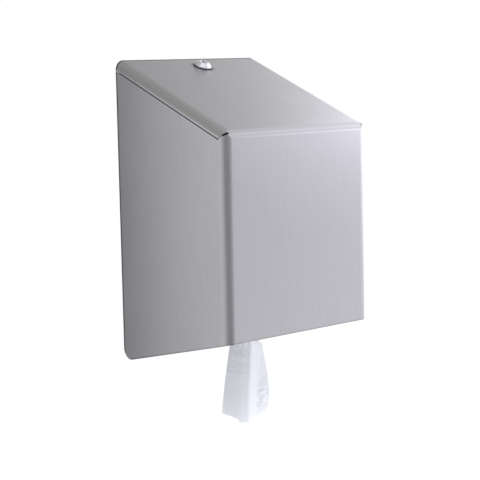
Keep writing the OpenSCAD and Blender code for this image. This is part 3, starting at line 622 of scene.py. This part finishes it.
# The bundle of folds in plan, in mm: its middle and the greatest radius that the throat leaves it, how
# much of its shift and of its size it keeps there, and the share of the tail where it is free again
BUNDLE_MIDDLE = Vector((0.0, -4.0))
BUNDLE_RADIUS = 11.0
BUNDLE_SHIFT = 0.2
BUNDLE_SIZE = 0.96
BUNDLE_FREE = 0.15
# How fast the folds open below the rim, and how far and how low the tail's right side bulges
OPENING_POWER = 1.35
BULGE = 0.27
BULGE_POWER = 1.5
# Gathers, dents, crumples and creases: heights and sizes in mm, and the share of the gathers that stays
GATHERS = 19
GATHER_HEIGHT = 0.9
GATHER_REST = 0.08
DENT_HEIGHT = 0.9
DENT_SIZE = 26.0
CRUMPLE_HEIGHT = 0.4
CRUMPLE_HEIGHT_LOW_RIGHT = 2.2
CRUMPLE_SIZE = 7.0
CREASE_HEIGHT = 1.2
CREASE_PITCH = 4.5
CREASE_LENGTH = 20.0
CREASE_FALL = 0.5


def fold_shares(points):
    """How far along an open line each of its points lies, from 0 to 1."""
    lengths = [math.dist(a, b) for a, b in zip(points, points[1:])]
    shares = [0.0]
    for length in lengths:
        shares.append(shares[-1] + length / sum(lengths))
    return shares


def folded_line(points, shares, count):
    """A folded line with rounded creases, whose points keep their shares of the sheet's width."""
    line = []
    fold = 0
    for k in range(count):
        t = k / (count - 1)
        while fold < len(points) - 2 and t > shares[fold + 1]:
            fold += 1
        part = (t - shares[fold]) / (shares[fold + 1] - shares[fold])
        line.append(Vector(points[fold]).lerp(Vector(points[fold + 1]), part))
    for _ in range(3):
        line = [
            line[0],
            *[(line[k - 1] + 2 * line[k] + line[k + 1]) / 4 for k in range(1, count - 1)],
            line[-1],
        ]
    return line


def table_value(table, x):
    """Straight-line reading of a table of pairs."""
    for (x0, y0), (x1, y1) in zip(table, table[1:]):
        if x <= x1:
            return blend_between(y0, y1, max(0.0, (x - x0) / (x1 - x0)))
    return table[-1][1]


def crumple(place, size, seed):
    """Noise from about -1 to 1 with features of a size."""
    spot = place / size + Vector((seed, 2.3 * seed, -1.7 * seed))
    return noise.noise(spot) + 0.5 * noise.noise(spot * 2.1)


def hanging_length(x, across):
    """Length of the tail below the nozzle's rim, at a place in plan and across the sheet."""
    torn = table_value(TORN_EDGE, x) * MM
    wave = BEHIND_WAVE * math.sin(BEHIND_WAVES * TURN * across) if across > BEHIND_START else 0.0
    return torn + wave - BEHIND_RISE * rise(across, BEHIND_START, BEHIND_START + 0.125)


def open_bundle(spot, s):
    """A place in plan, squeezed into the throat at the rim and free a little way down the tail."""
    offset = spot - BUNDLE_MIDDLE
    kept = BUNDLE_RADIUS / max(offset.length, BUNDLE_RADIUS)
    squeezed = BUNDLE_MIDDLE * BUNDLE_SHIFT + offset * kept * BUNDLE_SIZE
    return squeezed.lerp(spot, rise(s, 0, BUNDLE_FREE))


def gathers(across, s):
    """Small gathers that the throat presses in, fading out below it."""
    wave = GATHER_HEIGHT * math.sin(TURN * (GATHERS * across + 0.5 * math.sin(5 * across)))
    return wave * blend_between(1.0, GATHER_REST, rise(s, 0.02, 0.17))


def dents(across, x, drop, s):
    """Soft dents all over the sheet, and crumples that are sharpest at the lower right."""
    place = Vector((across * SHEET_WIDTH / MM, -drop, 0.0))
    low_right = rise(x, 10, 20) * rise(s, 0.45, 0.75)
    soft = DENT_HEIGHT * crumple(place, DENT_SIZE, seed=3.1)
    height = CRUMPLE_HEIGHT + CRUMPLE_HEIGHT_LOW_RIGHT * low_right
    sharp = height * abs(crumple(place, CRUMPLE_SIZE, seed=7.7))
    return (soft + sharp) * rise(s, 0, 0.2)


def slanting_creases(x, drop, s):
    """Shallow creases that fall to the right over the upper left of the tail."""
    upper_left = rise(x, 4, -6) * rise(s, 0.15, 0.25) * rise(s, 0.66, 0.41)
    square = drop - CREASE_FALL * x
    along = x + CREASE_FALL * drop
    spot = Vector((square / CREASE_PITCH, along / CREASE_LENGTH, 5.5))
    return CREASE_HEIGHT * upper_left * noise.noise(spot)


def tail_sheet_points():
    """The gathered tail, from inside the nozzle's throat down to the torn edge."""
    shares = fold_shares(TAIL_FOLDS)
    rim = folded_line(RIM_FOLDS, shares, TAIL_COLUMNS)
    end = folded_line(TAIL_FOLDS, shares, TAIL_COLUMNS)
    points = []
    for row in range(TAIL_ROWS):
        t = row / (TAIL_ROWS - 1)
        for column in range(TAIL_COLUMNS):
            across = column / (TAIL_COLUMNS - 1)
            drop = blend_between(-TAIL_START, hanging_length(end[column].x, across), t)
            s = max(0.0, drop) / TAIL_LENGTH
            down = min(1.0, s)
            spot = rim[column].lerp(end[column], 1 - (1 - down) ** OPENING_POWER)
            bulge = 1 + BULGE * math.sin(math.pi * down ** BULGE_POWER) * rise(spot.x, 12, 19)
            spot = open_bundle(Vector((spot.x * bulge, spot.y)), s)
            push = gathers(across, s) + dents(across, spot.x, drop / MM, s)
            push += slanting_creases(spot.x, drop / MM, s)
            flat = NOZZLE_AXIS + SEEN_RIGHT * (spot.x * MM) + SEEN_NEAR * ((spot.y + push) * MM)
            points.append((flat.x, flat.y, RIM_Z - drop))
    return points


# Paper cone inside the nozzle: its radii above and in the throat, its end above the rim, the share of
# its height where it is as narrow as the throat, how many turns it wraps round and how far it twists,
# its pleats and their depths in mm, and how far one edge lies inside the other
CONE_RADIUS = 29.2 * MM
THROAT_RADIUS = 12.4 * MM
CONE_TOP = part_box("paper_tail")[1].z
CONE_END = 0.6 * MM
CONE_NARROW = 1 / 1.04
CONE_WRAP = 1.03
CONE_TWIST = 0.55
CONE_PLEATS = 16
CONE_PLEAT_DEPTHS = (0.3, 2.6)
CONE_LAP = 1.2 * MM
CONE_ROWS = 40
CONE_COLUMNS = 190


def cone_sheet_points():
    """The paper cone that leads from the roll's inner turn into the throat."""
    points = []
    for row in range(CONE_ROWS):
        t = row / (CONE_ROWS - 1)
        z = blend_between(CONE_TOP, RIM_Z + CONE_END, t)
        shrink = rise(t, 0, CONE_NARROW)
        radius = blend_between(CONE_RADIUS, THROAT_RADIUS, shrink)
        depth = blend_between(*CONE_PLEAT_DEPTHS, shrink) * MM
        for column in range(CONE_COLUMNS):
            across = column / (CONE_COLUMNS - 1)
            angle = TURN * (CONE_WRAP * across + CONE_TWIST * shrink)
            pleat = depth * (math.cos(TURN * CONE_PLEATS * across) - 1) / 2
            r = radius + pleat - CONE_LAP * across
            points.append((
                NOZZLE_AXIS.x + r * math.cos(angle), NOZZLE_AXIS.y + r * math.sin(angle), z
            ))
    return points


def thicken_sheet(sheet):
    """Gives a sheet its thickness, half to each side."""
    thicken = sheet.modifiers.new("thickness", "SOLIDIFY")
    thicken.thickness = SHEET_THICKNESS
    thicken.offset = 0.0


def make_hanging_tissue():
    """The tissue from the roll's inner turn through the nozzle to the torn end."""
    tail = tail_sheet_points()
    faces = grid_faces(0, TAIL_ROWS, TAIL_COLUMNS)
    faces += grid_faces(len(tail), CONE_ROWS, CONE_COLUMNS)
    sheet = mesh_object("hanging_tissue", tail + cone_sheet_points(), faces, SHEET_TISSUE)
    thicken_sheet(sheet)
    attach(sheet, "wall_unit")
    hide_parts("paper_tail")


# Roll: the radius of its core, its turns, how deep a turn's edges and its middle lie below the roll's
# ends, how far turns stand out of line, how uneven it is, and the steps of its mesh
ROLL_AXIS = Vector(((roll_low.x + roll_high.x) / 2, (roll_low.y + roll_high.y) / 2, 0))
ROLL_RADIUS = (roll_high.x - roll_low.x) / 2
CORE_RADIUS = 30 * MM
ROLL_TURNS = 42
TURN_PROFILE = ((0.06, 0.80 * MM), (0.28, 0.35 * MM), (0.72, 0.35 * MM), (0.94, 0.80 * MM))
TURN_OFFSET = 0.3 * MM
OUTSIDE_GAP = 0.05 * MM
END_RIPPLE = 0.35 * MM
WALL_RIPPLE = 0.14 * MM
ROLL_COLUMNS = 144
WALL_STEPS = 12


def roll_end_rings(z, sign, order):
    """Rings over one end of the roll, each with its radius, its height and its turn."""
    pitch = (ROLL_RADIUS - CORE_RADIUS) / ROLL_TURNS
    rings = []
    for turn in order:
        offset = TURN_OFFSET * noise.noise(Vector((turn * 0.73, sign * 5.1, 0.2)))
        for share, sink in TURN_PROFILE:
            if order.step < 0:
                share = 1 - share
            rings.append((CORE_RADIUS + (turn + share) * pitch, z + sign * (offset - sink), turn))
    return rings


def roll_wall_rings(radius, start_z, stop_z, turn):
    """Rings down the outside or up the inside of the roll."""
    heights = [blend_between(start_z, stop_z, step / WALL_STEPS) for step in range(1, WALL_STEPS)]
    return [(radius, z, turn) for z in heights]


def make_roll():
    """The wound roll: each turn stands a little above or below its neighbours at both ends."""
    rings = roll_end_rings(roll_high.z, 1, range(0, ROLL_TURNS, 1))
    rings += roll_wall_rings(ROLL_RADIUS - OUTSIDE_GAP, roll_high.z, roll_low.z, ROLL_TURNS)
    rings += roll_end_rings(roll_low.z, -1, range(ROLL_TURNS - 1, -1, -1))
    rings += roll_wall_rings(CORE_RADIUS, roll_low.z, roll_high.z, -1)
    points = []
    for r, z, turn in rings:
        on_end = 0 <= turn < ROLL_TURNS
        outwards = WALL_RIPPLE if turn < 0 else -WALL_RIPPLE
        for column in range(ROLL_COLUMNS):
            angle = TURN * column / ROLL_COLUMNS
            spot = Vector((math.cos(angle) * 1.3, math.sin(angle) * 1.3, turn * 0.31))
            ripple = noise.noise(spot)
            radius = r if on_end else min(ROLL_RADIUS, r + outwards * ripple)
            height = z + END_RIPPLE * ripple if on_end else z
            points.append((
                ROLL_AXIS.x + radius * math.cos(angle), ROLL_AXIS.y + radius * math.sin(angle),
                min(roll_high.z, max(roll_low.z, height)),
            ))
    faces = grid_faces(0, len(rings), ROLL_COLUMNS, closed=True)
    last = (len(rings) - 1) * ROLL_COLUMNS
    for column in range(ROLL_COLUMNS):
        after = (column + 1) % ROLL_COLUMNS
        faces.append((last + column, last + after, after, column))
    outward = [tuple(reversed(face)) for face in faces]
    roll = mesh_object("wound_roll", points, outward, ROLL_TISSUE)
    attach(roll, "wall_unit")
    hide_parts("paper_roll")


# Loose end of the roll: the angles between which it lies, its margin above and below, how far it stands
# off the roll where it lies and where it lifts, and how uneven its torn edge is
LOOSE_ANGLES = (-150, -112)
LOOSE_MARGIN = 0.6 * MM
LOOSE_GAP = 0.25 * MM
LOOSE_LIFT = 2.4 * MM
LOOSE_TEAR = 0.9 * MM
LOOSE_ROWS = 60
LOOSE_COLUMNS = 40


def make_roll_end():
    """The loose outer end of the roll, which lies on its last turn and lifts a little."""
    points = []
    for row in range(LOOSE_ROWS):
        t = row / (LOOSE_ROWS - 1)
        z = blend_between(roll_low.z + LOOSE_MARGIN, roll_high.z - LOOSE_MARGIN, t)
        for column in range(LOOSE_COLUMNS):
            along = column / (LOOSE_COLUMNS - 1)
            angle = math.radians(blend_between(*LOOSE_ANGLES, along))
            tear = LOOSE_TEAR * noise.noise(Vector((z * 160, 3.3, 0.7))) * rise(along, 0.9, 1)
            uneven = 0.8 + 0.5 * noise.noise(Vector((z * 28, along * 2, 1.1)))
            r = ROLL_RADIUS + LOOSE_GAP + LOOSE_LIFT * rise(along, 0.45, 1) * uneven
            points.append((
                ROLL_AXIS.x + r * math.cos(angle) - tear * math.sin(angle),
                ROLL_AXIS.y + r * math.sin(angle) + tear * math.cos(angle), z,
            ))
    end = mesh_object("roll_end", points, grid_faces(0, LOOSE_ROWS, LOOSE_COLUMNS), ROLL_TISSUE)
    thicken_sheet(end)
    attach(end, "wall_unit")


# Studio
def make_floor():
    """Pale floor far below the hung object; it reads as white and keeps the shadow."""
    half = FLOOR_SIZE / 2
    level = -HANGING_HEIGHT
    corners = [(-half, -half, level), (half, -half, level), (half, half, level), (-half, half, level)]
    material, tree, shader = new_material("pale_floor", Base_Color=FLOOR_COLOUR, Roughness=0.9)
    own = add(tree, "ShaderNodeEmission", Color=WHITE)
    link(tree, maths(tree, "MULTIPLY", seen_directly(tree), FLOOR_OWN_LIGHT), own.inputs["Strength"])
    both = add(tree, "ShaderNodeAddShader")
    link(tree, shader.outputs[0], both.inputs[0])
    link(tree, own.outputs[0], both.inputs[1])
    link(tree, both.outputs[0], tree.nodes["Material Output"].inputs["Surface"])
    floor = mesh_object("floor", corners, [(0, 1, 2, 3)], material)


def make_world():
    """White for the camera and for reflections, and an even, weaker light for everything else."""
    world = bpy.data.worlds.new("studio")
    bpy.context.scene.world = world
    world.use_nodes = True
    tree = world.node_tree
    ambient = tree.nodes["Background"]
    ambient.inputs["Color"].default_value = WHITE
    ambient.inputs["Strength"].default_value = AMBIENT_LIGHT
    backdrop = add(tree, "ShaderNodeBackground", Color=WHITE, Strength=1.0)
    mix = add(tree, "ShaderNodeMixShader")
    link(tree, seen_directly(tree), mix.inputs[0])
    link(tree, ambient.outputs[0], mix.inputs[1])
    link(tree, backdrop.outputs[0], mix.inputs[2])
    link(tree, mix.outputs[0], tree.nodes["World Output"].inputs["Surface"])


def turn_to(shown, place, towards):
    """Puts an object at a place and turns its face in a direction."""
    shown.location = place
    shown.rotation_mode = "QUATERNION"
    shown.rotation_quaternion = towards.to_track_quat("-Z", "Y")


def softbox(name, place, target, width, height, radiance, colour):
    """A soft rectangular lamp whose face is as bright as a white surface times its radiance."""
    data = bpy.data.lights.new(name, "AREA")
    data.shape = "RECTANGLE"
    data.size = width
    data.size_y = height
    data.energy = radiance * math.pi * width * height
    data.color = colour
    lamp = bpy.data.objects.new(name, data)
    bpy.context.scene.collection.objects.link(lamp)
    turn_to(lamp, place, target - place)
    lamp.visible_glossy = False


def card_material(name, sides, soft, colour):
    """Even grey that fades out towards each edge of a card."""
    material = bpy.data.materials.new(name)
    material.use_nodes = True
    tree = material.node_tree
    tree.nodes.clear()
    out = add(tree, "ShaderNodeOutputMaterial")
    grey = add(tree, "ShaderNodeEmission", Color=(*colour, 1.0), Strength=1.0)
    clear = add(tree, "ShaderNodeBsdfTransparent")
    place = split_axes(tree, object_place(tree))
    inside = []
    for axis, side, edge in zip("XY", sides, soft):
        distance = maths(tree, "ABSOLUTE", place[axis])
        inside.append(ramp(tree, distance, side / 2, side / 2 - edge))
    mix = add(tree, "ShaderNodeMixShader")
    link(tree, maths(tree, "MULTIPLY", *inside), mix.inputs[0])
    link(tree, clear.outputs[0], mix.inputs[1])
    link(tree, grey.outputs[0], mix.inputs[2])
    link(tree, mix.outputs[0], out.inputs["Surface"])
    return material


def studio_card(name, place, towards, sides, soft, colour):
    """A card that only reflections see; it faces the camera's target where no direction is given."""
    x, y = sides[0] / 2, sides[1] / 2
    corners = [(-x, -y, 0), (x, -y, 0), (x, y, 0), (-x, y, 0)]
    card = mesh_object(name, corners, [(0, 1, 2, 3)], card_material(name, sides, soft, colour))
    turn_to(card, place, CAMERA_TARGET - place if towards is None else towards)
    card.visible_camera = False
    card.visible_shadow = False
    card.visible_diffuse = False


def around(azimuth, elevation, distance):
    """A place in the room, seen from the camera's target."""
    return CAMERA_TARGET + direction(azimuth, elevation) * distance


# The lamp lights the tissue and the plastics from low in front
LAMP_TARGET = Vector((0.0, -0.107, -0.25))
LAMP_PLACE = LAMP_TARGET + direction(24, -30) * 1.2

# Directions that cards face; the one for down leans a trace to the front, which settles their turn
LEFTWARDS = Vector((-1, 0, 0))
FORWARDS = Vector((0, -1, 0))
DOWNWARDS = Vector((0, -0.0001, -1))

# Cards: name, place, direction or None, sides, widths of the soft edges, and colour
STUDIO_CARDS = (
    # seen in the front panel and its bends
    ("right_card", Vector((1.05, -0.23, 0.45)), LEFTWARDS, (2.0, 1.7), (0.6, 0.6), (2.3, 2.28, 2.41)),
    ("glow_card", Vector((1.0, -1.06, 0.22)), LEFTWARDS, (0.6, 0.6), (0.22, 0.22), (2.8, 2.76, 3.08)),
    ("camera_flag", around(-30, -12, 2.3), None, (11.6, 5.0), (5.8, 2.0), (0.38, 0.38, 0.39)),
    ("front_card", around(28, 5, 2.2), None, (2.4, 2.8), (1.0, 0.8), (0.77, 0.77, 0.77)),
    ("brow_card", around(44, 58, 2.2), None, (2.4, 1.8), (0.8, 0.6), (0.80, 0.80, 0.80)),
    ("apron_card", around(54, -15, 2.1), None, (2.2, 1.1), (1.0, 0.5), (1.25, 1.24, 1.29)),
    # seen in the left side
    ("left_card", around(-133, 25, 1.6), None, (0.7, 1.0), (0.3, 0.3), (2.15, 2.12, 2.26)),
    ("shoulder_card", around(-98, -14, 1.9), None, (1.9, 1.8), (0.7, 0.7), (0.80, 0.80, 0.80)),
    ("wall_card", Vector((-0.17, 0.3, -0.05)), FORWARDS, (0.7, 1.4), (0.25, 0.25), (0.15, 0.15, 0.15)),
    ("low_card", Vector((-0.95, 0.5, -0.75)), FORWARDS, (1.8, 2.0), (0.6, 0.5), (0.94, 0.94, 0.95)),
    # seen in the sloping top
    ("ceiling_card", Vector((-0.40, 0.75, 0.75)), DOWNWARDS, (2.8, 2.0), (0.6, 0.6), (0.50, 0.50, 0.49)),
    ("corner_card", Vector((-0.93, 0.71, 0.77)), None, (1.8, 1.2), (0.3, 0.25), (0.53, 0.54, 0.49)),
    ("strip_card", Vector((-0.55, 0.4, 0.7)), DOWNWARDS, (1.5, 1.4), (0.4, 0.4), (0.51, 0.52, 0.46)),
)


def make_studio():
    """One lamp, and the cards that the brushed steel and the chrome reflect."""
    softbox("low_softbox", LAMP_PLACE, LAMP_TARGET, 1.2, 0.8, radiance=2.3, colour=(0.98, 0.98, 1.0))
    for card in STUDIO_CARDS:
        studio_card(*card)


bpy.context.scene.view_settings.view_transform = "Standard"
make_camera()
dress_frame()
make_hanging_tissue()
make_roll()
make_roll_end()
make_floor()
make_world()
make_studio()
